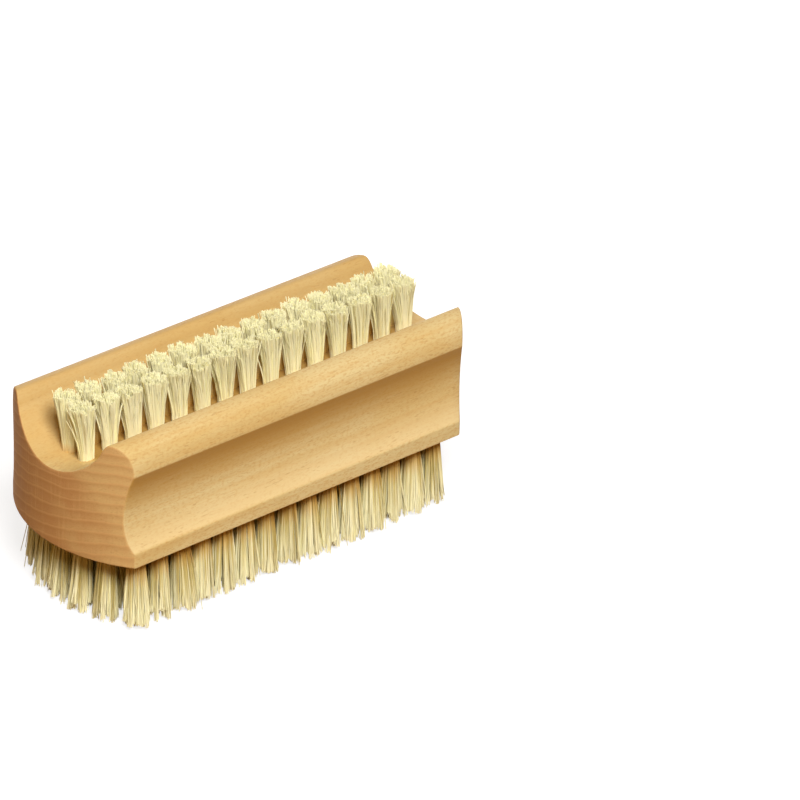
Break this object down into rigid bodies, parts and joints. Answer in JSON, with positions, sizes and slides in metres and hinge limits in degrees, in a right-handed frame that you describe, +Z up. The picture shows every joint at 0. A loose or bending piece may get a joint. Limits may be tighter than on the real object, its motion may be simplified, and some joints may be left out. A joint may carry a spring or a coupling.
{
  "type": "nail brush",
  "caption": "Wooden nail brush: moulded beech block with finger grooves, long plant-fibre bristles below and short bristle rows in the trough on top.",
  "frame": {"origin": "middle of the plane of the long bristles' cut tips, on which the brush stands", "axes": "+X along the block, +Y across it, +Z up from the long bristles to the short ones"},
  "size_m": [0.095, 0.0368, 0.0442],
  "materials": {
    "beech": "satin, thinly waxed, fine lengthwise grain",
    "plant_fibre": "matt cream plant fibre, trimmed ends",
    "anchor_wire": "flat drawn wire"
  },
  "bodies": {
    "root": {"handle_block": "beech", "long_bristles_front": "plant_fibre", "long_bristles_back": "plant_fibre", "short_bristles_front": "plant_fibre", "short_bristles_back": "plant_fibre", "short_tuft_anchor_01": "anchor_wire", "short_tuft_anchor_02": "anchor_wire", "short_tuft_anchor_03": "anchor_wire", "short_tuft_anchor_04": "anchor_wire", "short_tuft_anchor_05": "anchor_wire", "short_tuft_anchor_06": "anchor_wire", "short_tuft_anchor_07": "anchor_wire", "short_tuft_anchor_08": "anchor_wire", "short_tuft_anchor_09": "anchor_wire", "short_tuft_anchor_10": "anchor_wire", "short_tuft_anchor_11": "anchor_wire", "short_tuft_anchor_12": "anchor_wire", "short_tuft_anchor_13": "anchor_wire", "short_tuft_anchor_14": "anchor_wire", "short_tuft_anchor_15": "anchor_wire", "short_tuft_anchor_16": "anchor_wire", "short_tuft_anchor_17": "anchor_wire", "short_tuft_anchor_18": "anchor_wire", "short_tuft_anchor_19": "anchor_wire", "short_tuft_anchor_20": "anchor_wire", "short_tuft_anchor_21": "anchor_wire", "short_tuft_anchor_22": "anchor_wire", "short_tuft_anchor_23": "anchor_wire", "short_tuft_anchor_24": "anchor_wire", "short_tuft_anchor_25": "anchor_wire", "short_tuft_anchor_26": "anchor_wire", "short_tuft_anchor_27": "anchor_wire", "short_tuft_anchor_28": "anchor_wire", "short_tuft_anchor_29": "anchor_wire", "short_tuft_anchor_30": "anchor_wire"}
  },
  "joints": []
}
